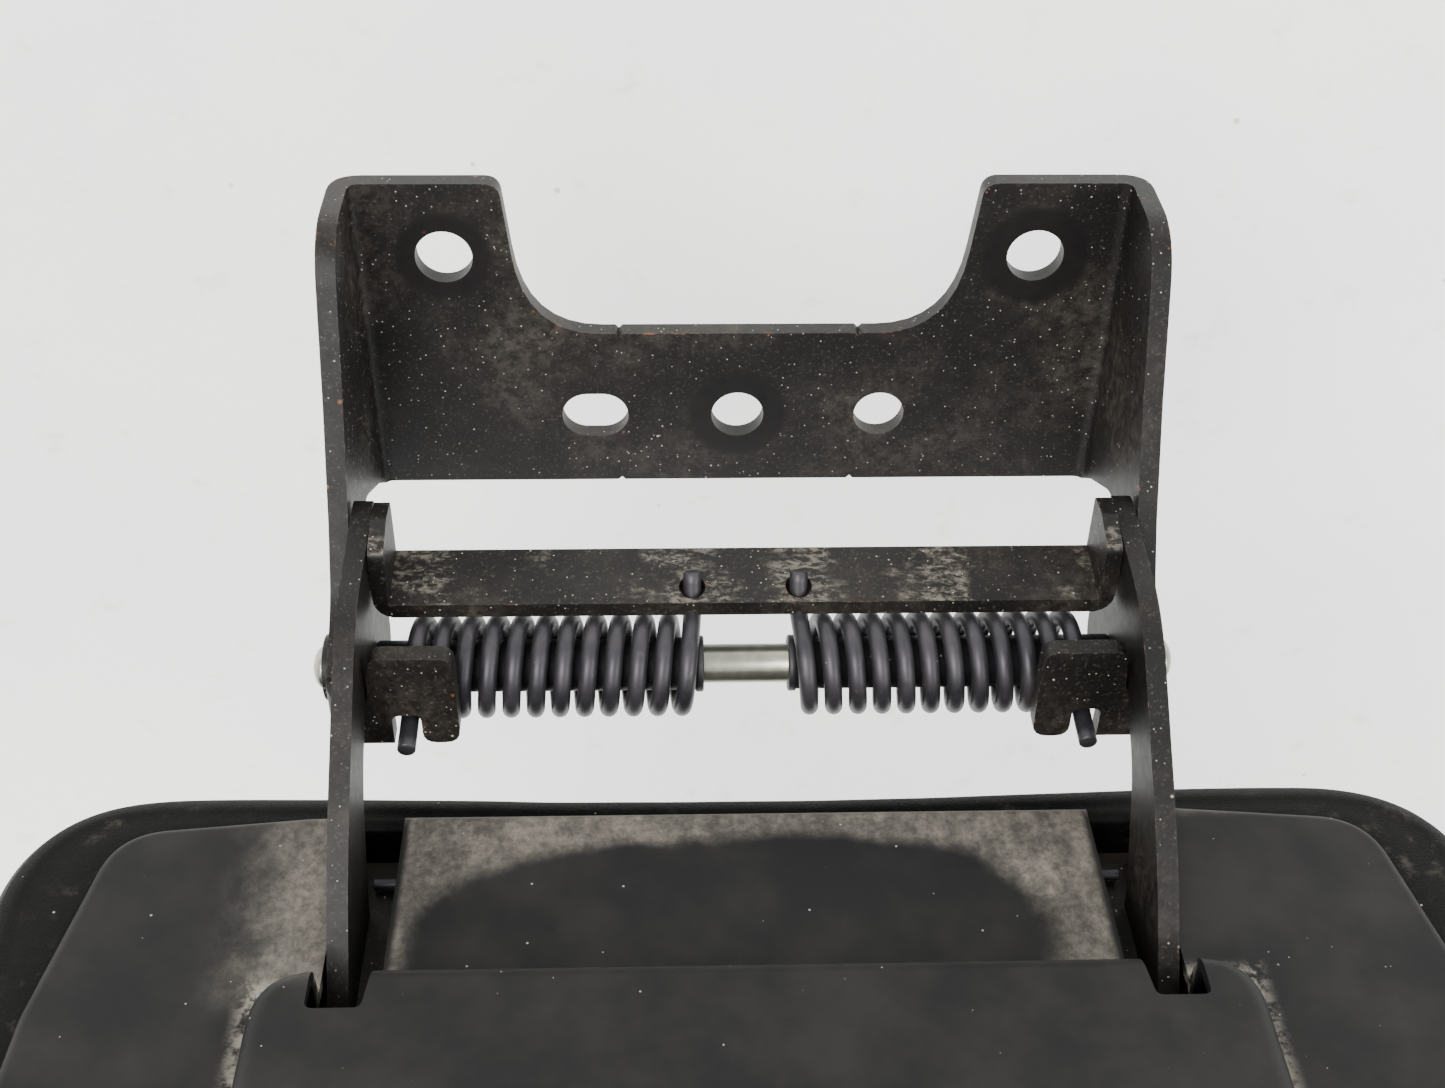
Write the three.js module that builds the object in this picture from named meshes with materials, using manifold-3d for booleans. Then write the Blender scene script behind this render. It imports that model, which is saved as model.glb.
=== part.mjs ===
// Spring-return tip-up seat on a steel mounting bracket, drawn folded up.
// Millimetres. +Z is up, the sitter faces -Y, the hinge axis lies along X.
// The bracket's flat underside lies on Z = 0.
import * as THREE from 'three';
import { mergeVertices } from 'three/addons/utils/BufferGeometryUtils.js';
import Module from 'manifold-3d';

const wasm = await Module();
wasm.setup();

// ---------- driving dimensions ----------
const STEEL = 5;              // thickness of the bracket and the arms
const GAP = 0.3;              // gap kept between neighbouring cut parts

const BRACKET_HALF = 105;     // half the bracket's outside width
const PLATE_FRONT = -54;      // front edge of the two ears
const PLATE_REAR = 39.2;
const NOTCH_REAR = -9.4;      // rear edge of the front notch
const BEND_OUTER = 8;
const HOLE_FRONT = { x: 77.5, y: -33, r: 7.5 };
const HOLE_REAR = { x: 39.5, y: 17, r: 7 };
const HOLE_CENTRE_R = 7.25;
const SLOT_LENGTH = 18.3;
const NICK_X = 32.5;          // small shearing nicks in the plate's edges
const NICK_DEPTH = 1;

const SHAFT = { y: 45.5, z: 76.5, r: 5 };
const BORE_R = 5.1;           // running bore of arms, cheeks and spools
const LOBE_R = 17;            // cheek's rounded end around the shaft

const TAB = { inner: 72, front: 25.4, neckFront: 39, rear: 53.4, low: 91.2, high: 96.2 };
const TAB_NOTCH = { x: 84.85, half: 3.6, front: 44.1 };

const WASHER = { r: 8.5, thick: 2 };
const HEAD = { r: 5.6, high: 3 };

const SPOOL = { r: 7.25, inner: 10.8, outer: 94 };
const SPRING = {              // wire and mean are radii; start is the inner leg's distance from the centre
  wire: 2.3, mean: 11.2, start: 13.6, pitch: 6.25, turns: 11.3417, innerLeg: 13.1, outerLeg: 16,
};
const SPRING_START_DEG = 206; // direction of the inner leg, from +Y towards +Z

const ARM_OUTER = 99.4;
const ARM_LOBE_R = 13.3;
const BAR = { thick: 4, outer: 94.1, low: 54, high: 73.1, front: 25.4, lean: 2.5, tabFront: 8.8, bend: 7 };
const BAR_HOLE = { r: 3.4, reach: 20, depth: 16 };  // drilled along the spring's inner leg

const FOOT = { y: 84.3, thick: 4, inner: 72, outer: 122, low: 112, high: 178 };
const ROD = { r: 1.5, y: 82, z: 117.5 };

const SHELL = { front: 70, rear: 88.3, skin: 3, low: 104.5, high: 424, half: 169 };
const BLOCK = { half: 113.5, low: 160.5, high: 392, front: 58, corner: 15, edge: 5 };
const ARM_SLOT = { inner: 86.5, outer: 100.4, high: 173 };
const BOARD = { thick: 10 };
const CUSHION = {
  half: 188, low: 88, high: 442, front: 76, rear: 138, roll: 14, skin: 1.2, cornerLow: 42, cornerHigh: 66,
};

// ---------- helpers ----------
const TO_SIDE = new THREE.Matrix4().makeBasis(
  new THREE.Vector3(0, 1, 0), new THREE.Vector3(0, 0, 1), new THREE.Vector3(1, 0, 0));
const TO_FACE = new THREE.Matrix4().makeBasis(
  new THREE.Vector3(1, 0, 0), new THREE.Vector3(0, 0, 1), new THREE.Vector3(0, -1, 0));

// Closed solid from a three.js geometry, welded by position only.
function solid(geometry) {
  const bare = new THREE.BufferGeometry();
  bare.setAttribute('position', geometry.attributes.position.clone());
  if (geometry.index) bare.setIndex(geometry.index.clone());
  const welded = mergeVertices(bare, 1e-4);
  return new wasm.Manifold(new wasm.Mesh({
    numProp: 3,
    vertProperties: new Float32Array(welded.attributes.position.array),
    triVerts: new Uint32Array(welded.index.array),
  }));
}

// Outline drawn in the YZ plane, from x0 to x1.
function alongX(shape, x0, x1, curveSegments = 8) {
  const g = new THREE.ExtrudeGeometry(shape, { depth: x1 - x0, bevelEnabled: false, curveSegments });
  return solid(g.applyMatrix4(TO_SIDE).translate(x0, 0, 0));
}

// Outline drawn in the XY plane, from z0 to z1.
function alongZ(shape, z0, z1, curveSegments = 8) {
  const g = new THREE.ExtrudeGeometry(shape, { depth: z1 - z0, bevelEnabled: false, curveSegments });
  return solid(g.translate(0, 0, z0));
}

// Outline drawn in the XZ plane, from y0 to y1, with both edges rounded by `roll`.
function alongY(shape, y0, y1, roll = 0, curveSegments = 6, rollSegments = 4) {
  const g = new THREE.ExtrudeGeometry(shape, {
    depth: y1 - y0 - 2 * roll, bevelEnabled: roll > 0, bevelThickness: roll, bevelSize: roll,
    bevelOffset: -roll, bevelSegments: rollSegments, curveSegments,
  });
  return solid(g.applyMatrix4(TO_FACE).translate(0, y1 - roll, 0));
}

function polygon(points) {
  return new THREE.Shape(points.map(([a, b]) => new THREE.Vector2(a, b)));
}

function rectangle(a0, b0, a1, b1) {
  return polygon([[a0, b0], [a1, b0], [a1, b1], [a0, b1]]);
}

// Closed outline with a radius at each corner: entries are [a, b, radius].
function rounded(corners) {
  const shape = new THREE.Shape();
  const count = corners.length;
  corners.forEach(([a, b, r], i) => {
    const here = new THREE.Vector2(a, b);
    const before = new THREE.Vector2(...corners[(i + count - 1) % count].slice(0, 2)).sub(here);
    const after = new THREE.Vector2(...corners[(i + 1) % count].slice(0, 2)).sub(here);
    const half = Math.abs(before.angleTo(after)) / 2;
    const reach = r > 0 ? r / Math.tan(half) : 0;
    const enter = here.clone().addScaledVector(before.normalize(), reach);
    if (i === 0) shape.moveTo(enter.x, enter.y); else shape.lineTo(enter.x, enter.y);
    if (r > 0) {
      const leave = here.clone().addScaledVector(after.normalize(), reach);
      shape.quadraticCurveTo(a, b, leave.x, leave.y);
    }
  });
  shape.closePath();
  return shape;
}

function cylinderX(r, x0, x1, y = SHAFT.y, z = SHAFT.z, segments = 40) {
  const g = new THREE.CylinderGeometry(r, r, x1 - x0, segments).rotateZ(Math.PI / 2);
  return solid(g.translate((x0 + x1) / 2, y, z));
}

function cylinderY(r, y0, y1, x, z, segments = 24) {
  return solid(new THREE.CylinderGeometry(r, r, y1 - y0, segments).translate(x, (y0 + y1) / 2, z));
}

function cylinderZ(r, z0, z1, x, y, segments = 36) {
  const g = new THREE.CylinderGeometry(r, r, z1 - z0, segments).rotateX(Math.PI / 2);
  return solid(g.translate(x, y, (z0 + z1) / 2));
}

const mirrorX = (body) => body.mirror([1, 0, 0]);
const bothSides = (body) => body.add(mirrorX(body));

const group = new THREE.Group();

function addPart(name, body, { color, roughness, metalness = 0 }) {
  const mesh = body.getMesh();
  const geometry = new THREE.BufferGeometry();
  geometry.setAttribute('position', new THREE.BufferAttribute(new Float32Array(mesh.vertProperties), 3));
  geometry.setIndex(new THREE.BufferAttribute(new Uint32Array(mesh.triVerts), 1));
  geometry.computeVertexNormals();
  const part = new THREE.Mesh(geometry, new THREE.MeshStandardMaterial({ color, roughness, metalness }));
  part.name = name;
  group.add(part);
}

// Adds NAME_left (on +X) and its mirror image NAME_right (on -X).
function addPair(name, body, look) {
  addPart(`${name}_left`, body, look);
  addPart(`${name}_right`, mirrorX(body), look);
}

const BLACK_PAINT = { color: 0x2a2624, roughness: 0.7, metalness: 0.4 };
const ZINC = { color: 0xb4b3a8, roughness: 0.35, metalness: 0.9 };
const SPRING_STEEL = { color: 0x4b484b, roughness: 0.45, metalness: 0.7 };
const BLACK_PLASTIC = { color: 0x151516, roughness: 0.6 };
const SHELL_PLASTIC = { color: 0x3c3d40, roughness: 0.75 };
const VINYL = { color: 0x1f2021, roughness: 0.6 };
const FOAM = { color: 0xb9a56a, roughness: 0.95 };
const PLYWOOD = { color: 0x2e2a26, roughness: 0.85 };

// ---------- mounting bracket ----------
function bracketBody() {
  const inner = BRACKET_HALF - STEEL;
  const bendInner = BEND_OUTER - STEEL;
  const bendTop = TAB.high - BEND_OUTER;
  // Base and cheeks, seen along Y.
  const channel = alongY(rounded([
    [-BRACKET_HALF, 0, BEND_OUTER], [BRACKET_HALF, 0, BEND_OUTER], [BRACKET_HALF, bendTop, 0],
    [inner, bendTop, 0], [inner, STEEL, bendInner], [-inner, STEEL, bendInner],
    [-inner, bendTop, 0], [-BRACKET_HALF, bendTop, 0],
  ]), PLATE_FRONT - 1, SHAFT.y + LOBE_R + 2);

  // Side outline of a cheek: shallow in front, deep at the shaft, waisted behind the plate.
  const side = new THREE.Shape();
  side.moveTo(PLATE_FRONT, -1);
  side.lineTo(PLATE_REAR, -1);
  side.lineTo(PLATE_REAR, 6);
  side.lineTo(33.5, 14);
  side.lineTo(25, 30);
  side.quadraticCurveTo(21.5, 37, 26, 42.5);
  side.lineTo(38, 55);
  const lobeFrom = THREE.MathUtils.degToRad(-68);
  const lobeTo = THREE.MathUtils.degToRad(43);
  side.absarc(SHAFT.y, SHAFT.z, LOBE_R, lobeFrom, lobeTo, false);
  side.lineTo(TAB.rear, bendTop + 1);
  side.lineTo(TAB.neckFront, bendTop + 1);
  side.quadraticCurveTo(36.5, 86, 34, 80.5);
  side.quadraticCurveTo(30, 72.5, 24, 68.3);
  side.lineTo(12, 60.7);
  side.lineTo(-15.6, 47);
  side.lineTo(-42, 36);
  side.quadraticCurveTo(PLATE_FRONT, 31, PLATE_FRONT, 19);
  side.closePath();

  // Front notch, with rounded tips on the ears and a wide fillet at each rear corner.
  const notch = new THREE.Shape();
  notch.moveTo(0, PLATE_FRONT - 9);
  notch.lineTo(66, PLATE_FRONT - 9);
  notch.lineTo(66, PLATE_FRONT);
  notch.quadraticCurveTo(61.9, PLATE_FRONT, 61.7, PLATE_FRONT + 4.5);
  notch.lineTo(60, -34);
  notch.quadraticCurveTo(57.5, NOTCH_REAR, 37, NOTCH_REAR);
  notch.lineTo(0, NOTCH_REAR);
  notch.closePath();
  const slot = new THREE.Shape();
  const slotReach = SLOT_LENGTH / 2 - HOLE_REAR.r;
  slot.absarc(HOLE_REAR.x + slotReach, HOLE_REAR.y, HOLE_REAR.r, -Math.PI / 2, Math.PI / 2, false);
  slot.absarc(HOLE_REAR.x - slotReach, HOLE_REAR.y, HOLE_REAR.r, Math.PI / 2, 1.5 * Math.PI, false);

  let body = channel.intersect(alongX(side, -BRACKET_HALF - 1, BRACKET_HALF + 1));
  body = body.subtract(bothSides(alongZ(notch, -1, STEEL + 1)));
  body = body.subtract(bothSides(cylinderZ(HOLE_FRONT.r, -1, STEEL + 1, HOLE_FRONT.x, HOLE_FRONT.y)));
  body = body.subtract(cylinderZ(HOLE_CENTRE_R, -1, STEEL + 1, 0, HOLE_REAR.y));
  body = body.subtract(cylinderZ(HOLE_REAR.r, -1, STEEL + 1, -HOLE_REAR.x, HOLE_REAR.y));
  body = body.subtract(alongZ(slot, -1, STEEL + 1, 12));
  for (const [edge, inward] of [[NOTCH_REAR, 1], [PLATE_REAR, -1]]) {
    const nick = polygon(inward > 0
      ? [[NICK_X - 2, edge - 1], [NICK_X + 2, edge - 1], [NICK_X, edge + NICK_DEPTH]]
      : [[NICK_X - 2, edge + 1], [NICK_X, edge - NICK_DEPTH], [NICK_X + 2, edge + 1]]);
    body = body.subtract(bothSides(alongZ(nick, -1, STEEL + 1)));
  }

  // Spring tab: the cheek's top edge bent inwards, wider once it is past the arm.
  const neck = alongY(rounded([
    [inner, bendTop - 4, 0], [BRACKET_HALF, bendTop - 4, 0], [BRACKET_HALF, TAB.high, BEND_OUTER],
    [TAB.inner + 10, TAB.high, 0], [TAB.inner + 10, TAB.low, 0], [inner, TAB.low, bendInner],
  ]), TAB.neckFront, TAB.rear);
  const notchLow = TAB_NOTCH.x - TAB_NOTCH.half;
  const notchHigh = TAB_NOTCH.x + TAB_NOTCH.half;
  const tab = alongZ(rounded([
    [TAB.inner, TAB.front, 4], [92.5, TAB.front, 3], [93.9, TAB.neckFront + 2, 0], [93.9, TAB.rear, 0],
    [notchHigh, TAB.rear, 2.5], [notchHigh, TAB_NOTCH.front, 2], [notchLow, TAB_NOTCH.front, 2],
    [notchLow, TAB.rear, 3.5], [TAB.inner, TAB.rear, 4],
  ]), TAB.low, TAB.high, 4);
  const notchClear = alongZ(rounded([
    [notchLow, TAB_NOTCH.front, 2], [notchHigh, TAB_NOTCH.front, 2],
    [notchHigh, TAB.rear + 1, 0], [notchLow, TAB.rear + 1, 0],
  ]), TAB.low - 1, TAB.high + 1, 4);
  body = body.add(bothSides(neck.add(tab).subtract(notchClear)));
  return body.subtract(cylinderX(BORE_R, -BRACKET_HALF - 1, BRACKET_HALF + 1));
}
addPart('mount_bracket', bracketBody(), BLACK_PAINT);

// ---------- pivot shaft, riveted over a washer at each end ----------
function shaftBody() {
  const shoulder = BRACKET_HALF + GAP + WASHER.thick + 0.1;
  const profile = [[0, -shoulder - HEAD.high], [HEAD.r * 0.6, -shoulder - HEAD.high],
    [HEAD.r * 0.9, -shoulder - HEAD.high * 0.6], [HEAD.r, -shoulder], [SHAFT.r, -shoulder],
    [SHAFT.r, shoulder], [HEAD.r, shoulder], [HEAD.r * 0.9, shoulder + HEAD.high * 0.6],
    [HEAD.r * 0.6, shoulder + HEAD.high], [0, shoulder + HEAD.high]];
  const g = new THREE.LatheGeometry(profile.map(([r, h]) => new THREE.Vector2(r, h)), 40);
  return solid(g.rotateZ(-Math.PI / 2).translate(0, SHAFT.y, SHAFT.z));
}
addPart('pivot_shaft', shaftBody(), ZINC);

const washerAt = BRACKET_HALF + GAP / 2;
addPair('washer', cylinderX(WASHER.r, washerAt, washerAt + WASHER.thick)
  .subtract(cylinderX(BORE_R, washerAt - 1, washerAt + WASHER.thick + 1)), BLACK_PAINT);

addPair('spool', cylinderX(SPOOL.r, SPOOL.inner, SPOOL.outer, SHAFT.y, SHAFT.z, 32)
  .subtract(cylinderX(BORE_R, SPOOL.inner - 1, SPOOL.outer + 1)), BLACK_PLASTIC);

// ---------- torsion springs with a radial leg at each end ----------
function springBody() {
  const points = [];
  const start = THREE.MathUtils.degToRad(SPRING_START_DEG);
  const at = (x, angle, radius) => new THREE.Vector3(
    x, SHAFT.y + radius * Math.cos(angle), SHAFT.z + radius * Math.sin(angle));
  const perTurn = 14;
  const steps = Math.round(SPRING.turns * perTurn);
  const bendR = SPRING.mean + 1.5;
  points.push(at(SPRING.start, start, SPRING.mean + SPRING.innerLeg), at(SPRING.start, start, bendR + 1.5));
  for (let i = 1; i < steps; i++) {
    const turned = i / perTurn;
    points.push(at(SPRING.start + SPRING.pitch * turned, start - 2 * Math.PI * turned, SPRING.mean));
  }
  const endX = SPRING.start + SPRING.pitch * SPRING.turns;
  const end = start - 2 * Math.PI * SPRING.turns;
  points.push(at(endX, end, bendR + 1.5), at(endX, end, SPRING.mean + SPRING.outerLeg));
  const path = new THREE.CatmullRomCurve3(points, false, 'centripetal');
  const wire = new THREE.Shape().absarc(0, 0, SPRING.wire, 0, 2 * Math.PI, false);
  return solid(new THREE.ExtrudeGeometry(wire, { steps: steps + 16, curveSegments: 4, extrudePath: path }));
}
addPair('spring', springBody(), SPRING_STEEL);

// ---------- arms ----------
function armBody() {
  const side = new THREE.Shape();
  // Heel, bottom edge and the shoulder that lands on the tab when the seat is down.
  side.moveTo(10, 53);
  side.lineTo(50, 53);
  side.quadraticCurveTo(54, 53, 57, 55.5);
  side.lineTo(66, 64.5);
  side.lineTo(66, 68.3);
  const shoulder = Math.asin((68.3 - SHAFT.z) / ARM_LOBE_R);
  side.absarc(SHAFT.y, SHAFT.z, ARM_LOBE_R, shoulder, THREE.MathUtils.degToRad(120), false);
  // Crook that holds the bracket's tab, then the bar's rear edge.
  side.lineTo(TAB.neckFront - GAP, 90);
  side.lineTo(TAB.neckFront - GAP, TAB.high + 0.5);
  side.quadraticCurveTo(43.5, 100, 46, 104);
  side.quadraticCurveTo(49, 109, 57, 114);
  side.lineTo(76, 123.2);
  side.quadraticCurveTo(81, 125.5, FOOT.y - GAP, 125.8);
  side.lineTo(FOOT.y - GAP, 165);
  // Front edge, back down to the heel.
  side.lineTo(79, 161);
  side.lineTo(68.5, 153);
  side.lineTo(57.8, 144.3);
  side.quadraticCurveTo(45, 132.5, 36, 120.8);
  side.lineTo(23.6, 105.6);
  side.quadraticCurveTo(13, 93, 12.6, 80);
  side.lineTo(10.2, 61);
  side.quadraticCurveTo(9.2, 56, 10, 53);
  return alongX(side, ARM_OUTER - STEEL, ARM_OUTER, 8).subtract(cylinderX(BORE_R, 90, 110));
}
addPair('arm', armBody(), BLACK_PAINT);

// ---------- crossbar: web with an end tab beside each heel and two spring holes ----------
function crossbarBody() {
  const web = polygon([[BAR.front, BAR.low], [BAR.front + BAR.thick, BAR.low],
    [BAR.front + BAR.thick + BAR.lean, BAR.high], [BAR.front + BAR.lean, BAR.high]]);
  const endTab = rounded([
    [BAR.tabFront + 0.6, BAR.low, 1], [BAR.front + 3, BAR.low, 0],
    [BAR.front + BAR.thick + BAR.lean, BAR.high, 2], [BAR.front + 2, BAR.high, 0],
    [BAR.tabFront + 3.4, BAR.high - 1, 3], [BAR.tabFront, 62, 3],
  ]);
  let body = alongX(web, -BAR.outer + 1, BAR.outer - 1)
    .add(bothSides(alongX(endTab, BAR.outer - BAR.thick, BAR.outer)));
  // Round the outside corners where the strip is bent.
  const webRear = BAR.front + BAR.thick + BAR.lean + 0.2;
  const corner = alongZ(rounded([
    [-BAR.outer, BAR.tabFront - 5, 0], [BAR.outer, BAR.tabFront - 5, 0],
    [BAR.outer, webRear, BAR.bend], [-BAR.outer, webRear, BAR.bend],
  ]), 40, 80, 6);
  body = body.intersect(corner);
  const angle = THREE.MathUtils.degToRad(SPRING_START_DEG);
  const holeY = SHAFT.y + BAR_HOLE.reach * Math.cos(angle);
  const holeZ = SHAFT.z + BAR_HOLE.reach * Math.sin(angle);
  const drill = new THREE.CylinderGeometry(BAR_HOLE.r, BAR_HOLE.r, BAR_HOLE.depth, 24)
    .rotateX(angle)
    .translate(SPRING.start, holeY, holeZ);
  return body.subtract(bothSides(solid(drill)));
}
addPart('crossbar', crossbarBody(), BLACK_PAINT);

// ---------- feet that carry the seat board ----------
const BOLT = { r: 3, head: 5, headHigh: 3.2, z: [130, 168], x: [79, 114] };
const boardFront = FOOT.y + FOOT.thick + GAP;
const boardRear = boardFront + BOARD.thick;

function footBody() {
  const plate = alongY(rounded([
    [FOOT.inner, FOOT.low, 5], [FOOT.outer, FOOT.low, 5],
    [FOOT.outer, FOOT.high, 5], [FOOT.inner, FOOT.high, 5],
  ]), FOOT.y, FOOT.y + FOOT.thick);
  return plate
    .subtract(cylinderY(BOLT.r + GAP, FOOT.y - 1, boardFront, BOLT.x[0], BOLT.z[0]))
    .subtract(cylinderY(BOLT.r + GAP, FOOT.y - 1, boardFront, BOLT.x[1], BOLT.z[1]));
}
addPair('arm_foot', footBody(), BLACK_PAINT);

const boltEnd = boardRear - 2;
function footBolt(i) {
  const headLow = FOOT.y - 0.2 - BOLT.headHigh;
  return cylinderY(BOLT.head, headLow, FOOT.y - 0.2, BOLT.x[i], BOLT.z[i], 6)
    .add(cylinderY(BOLT.r, headLow + 1, boltEnd, BOLT.x[i], BOLT.z[i], 20));
}
addPair('foot_bolt_low', footBolt(0), ZINC);
addPair('foot_bolt_high', footBolt(1), ZINC);

const rodHalf = ARM_OUTER - STEEL - GAP;
addPart('slot_rod', cylinderX(ROD.r, -rodHalf, rodHalf, ROD.y, ROD.z, 16), SPRING_STEEL);

// ---------- seat pan ----------
// Outline of the shell in the XZ plane, grown by `grow`.
function panOutline(grow) {
  const low = SHELL.low - grow;
  const high = SHELL.high + grow;
  const half = SHELL.half + grow;
  return rounded([
    [-158 - grow, low + 4.5, 17], [-110, low, 0], [110, low, 0], [158 + grow, low + 4.5, 17],
    [half - 1.5, low + 60, 40], [half, low + 100, 0], [half, high, 52], [-half, high, 52],
    [-half, low + 100, 0], [-half + 1.5, low + 60, 40],
  ]);
}

function blockOutline(inset) {
  const half = BLOCK.half - inset;
  const corner = BLOCK.corner;
  return rounded([
    [-half, BLOCK.low + inset, corner], [half, BLOCK.low + inset, corner],
    [half, BLOCK.high - inset, corner], [-half, BLOCK.high - inset, corner],
  ]);
}

const SCREW = { r: 2, head: 4.5, boss: 7, x: 140, z: [220, 380] };

function shellBody() {
  const outer = alongY(panOutline(0), SHELL.front, SHELL.rear + 6, 3, 6, 2)
    .add(alongY(blockOutline(0), BLOCK.front, SHELL.front + 12, BLOCK.edge, 5, 3));
  const inner = alongY(panOutline(-SHELL.skin), SHELL.front + SHELL.skin, SHELL.rear + 20)
    .add(alongY(blockOutline(SHELL.skin), BLOCK.front + SHELL.skin, SHELL.rear + 20));
  const trim = alongY(rectangle(-300, 0, 300, 600), SHELL.rear, SHELL.rear + 40);
  const slot = alongY(rounded([
    [ARM_SLOT.inner, SHELL.low - 10, 0], [ARM_SLOT.outer, SHELL.low - 10, 0],
    [ARM_SLOT.outer, ARM_SLOT.high, 2], [ARM_SLOT.inner + 1.5, ARM_SLOT.high, 2],
    [ARM_SLOT.inner, BLOCK.low, 0],
  ]), BLOCK.front - 5, SHELL.rear + 1);
  let body = outer.subtract(inner).subtract(trim).subtract(bothSides(slot));
  // Screw bosses reach back to the board.
  for (const z of SCREW.z) {
    const bore = cylinderY(SCREW.r + GAP, SHELL.front - 1, SHELL.rear + 1, SCREW.x, z);
    const sink = cylinderY(SCREW.head + GAP, SHELL.front - 1, SHELL.front + 3, SCREW.x, z);
    body = body.add(bothSides(cylinderY(SCREW.boss, SHELL.front + 1, SHELL.rear, SCREW.x, z)));
    body = body.subtract(bothSides(bore)).subtract(bothSides(sink));
  }
  return body;
}
addPart('seat_shell', shellBody(), SHELL_PLASTIC);

function boardBody() {
  let body = alongY(panOutline(0), boardFront, boardRear);
  for (const i of [0, 1]) {
    const hole = cylinderY(BOLT.r + GAP, boardFront - 1, boltEnd + 0.5, BOLT.x[i], BOLT.z[i]);
    body = body.subtract(bothSides(hole));
  }
  for (const z of SCREW.z) {
    body = body.subtract(bothSides(cylinderY(SCREW.r + GAP, boardFront - 1, boardFront + 7, SCREW.x, z)));
  }
  return body;
}
addPart('seat_board', boardBody(), PLYWOOD);

SCREW.z.forEach((z, i) => {
  const head = cylinderY(SCREW.head, SHELL.front + 0.6, SHELL.front + 2.8, SCREW.x, z, 20);
  addPair(i ? 'shell_screw_high' : 'shell_screw_low',
    head.add(cylinderY(SCREW.r, SHELL.front + 1.5, boardFront + 6, SCREW.x, z, 12)), ZINC);
});

// ---------- cushion ----------
function cushionSolid(inset) {
  const half = CUSHION.half - inset;
  const low = CUSHION.low + inset;
  const high = CUSHION.high - inset;
  const cornerLow = CUSHION.cornerLow - inset;
  const cornerHigh = CUSHION.cornerHigh - inset;
  return alongY(rounded([
    [-half, low, cornerLow], [half, low, cornerLow], [half, high, cornerHigh], [-half, high, cornerHigh],
  ]), CUSHION.front + inset, CUSHION.rear - inset, CUSHION.roll - inset, 8, 5);
}
const panHollow = alongY(panOutline(0.5), SHELL.front - 1, boardRear + GAP);
addPart('cushion_foam', cushionSolid(CUSHION.skin + GAP).subtract(panHollow), FOAM);
addPart('cushion_cover', cushionSolid(0).subtract(cushionSolid(CUSHION.skin)).subtract(panHollow), VINYL);

export default group;
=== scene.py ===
"""Looks of a spring-return tip-up seat on its steel mounting bracket.

Everything is in metres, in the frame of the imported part: +Z up, the sitter faces -Y and the hinge
lies along X.  The seat is drawn folded up, so its moulded shell faces -Y and its cushion faces +Y.
"""
import math

import bmesh
import bpy
import numpy as np
from mathutils import Matrix, Vector


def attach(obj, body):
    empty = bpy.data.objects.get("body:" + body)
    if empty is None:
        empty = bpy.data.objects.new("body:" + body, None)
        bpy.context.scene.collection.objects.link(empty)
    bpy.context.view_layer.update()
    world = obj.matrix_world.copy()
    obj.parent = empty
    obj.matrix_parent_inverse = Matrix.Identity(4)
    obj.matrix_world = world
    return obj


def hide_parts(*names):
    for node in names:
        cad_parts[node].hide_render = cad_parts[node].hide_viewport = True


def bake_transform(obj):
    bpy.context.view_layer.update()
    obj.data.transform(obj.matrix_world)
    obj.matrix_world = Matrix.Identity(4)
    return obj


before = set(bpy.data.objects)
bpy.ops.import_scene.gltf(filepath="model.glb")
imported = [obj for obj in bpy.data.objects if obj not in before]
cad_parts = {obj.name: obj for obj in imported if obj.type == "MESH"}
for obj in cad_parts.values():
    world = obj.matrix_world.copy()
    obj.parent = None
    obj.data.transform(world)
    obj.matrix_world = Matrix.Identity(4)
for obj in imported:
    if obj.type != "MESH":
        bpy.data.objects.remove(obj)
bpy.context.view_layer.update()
MM = 0.001
SHAFT_Y, SHAFT_Z = 45.5 * MM, 76.5 * MM

scene = bpy.context.scene
collection = scene.collection


# ---------- camera ----------
def make_camera():
    data = bpy.data.cameras.new("camera")
    data.sensor_width = 36.0
    data.lens = 44.844
    data.clip_start, data.clip_end = 0.01, 50
    camera = bpy.data.objects.new("camera", data)
    collection.objects.link(camera)
    right = Vector((-0.9994, -0.0144, 0.0303)).normalized()
    forward = Vector((-0.0326, 0.6245, -0.7803)).normalized()
    up = right.cross(forward).normalized()
    rotation = Matrix((right, up, -forward)).transposed()
    camera.matrix_world = Matrix.Translation((0.0208, -0.2684, 0.4195)) @ rotation.to_4x4()
    scene.camera = camera


make_camera()


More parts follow.
